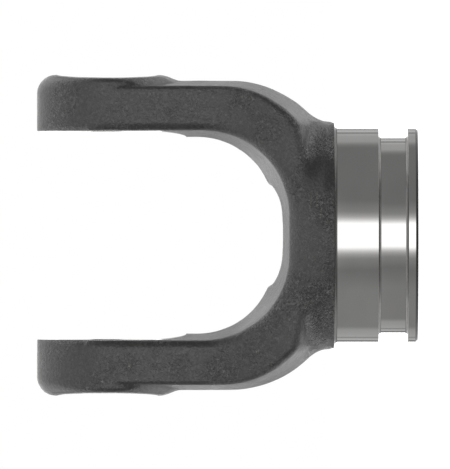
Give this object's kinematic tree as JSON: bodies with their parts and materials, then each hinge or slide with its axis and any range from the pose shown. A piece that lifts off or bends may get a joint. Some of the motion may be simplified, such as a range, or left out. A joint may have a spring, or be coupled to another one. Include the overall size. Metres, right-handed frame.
{
  "type": "forged yoke",
  "caption": "Forged U-shaped shaft yoke: drafted arms end in bored ears, a round collar joins them to a turned hub with a pilot, a neck and an end flange.",
  "frame": {"origin": "on the shaft axis, in the plane of the hub's end face", "axes": "+Z along the shaft axis from the hub to the ears, +X along the cross-bore axis, Y across the parting plane of the forging"},
  "size_m": [0.0888, 0.0626, 0.1052],
  "materials": {
    "forged_steel": "as-forged dark scale, with turned and bored faces bright"
  },
  "bodies": {
    "root": {"forged_yoke": "forged_steel"}
  },
  "joints": []
}
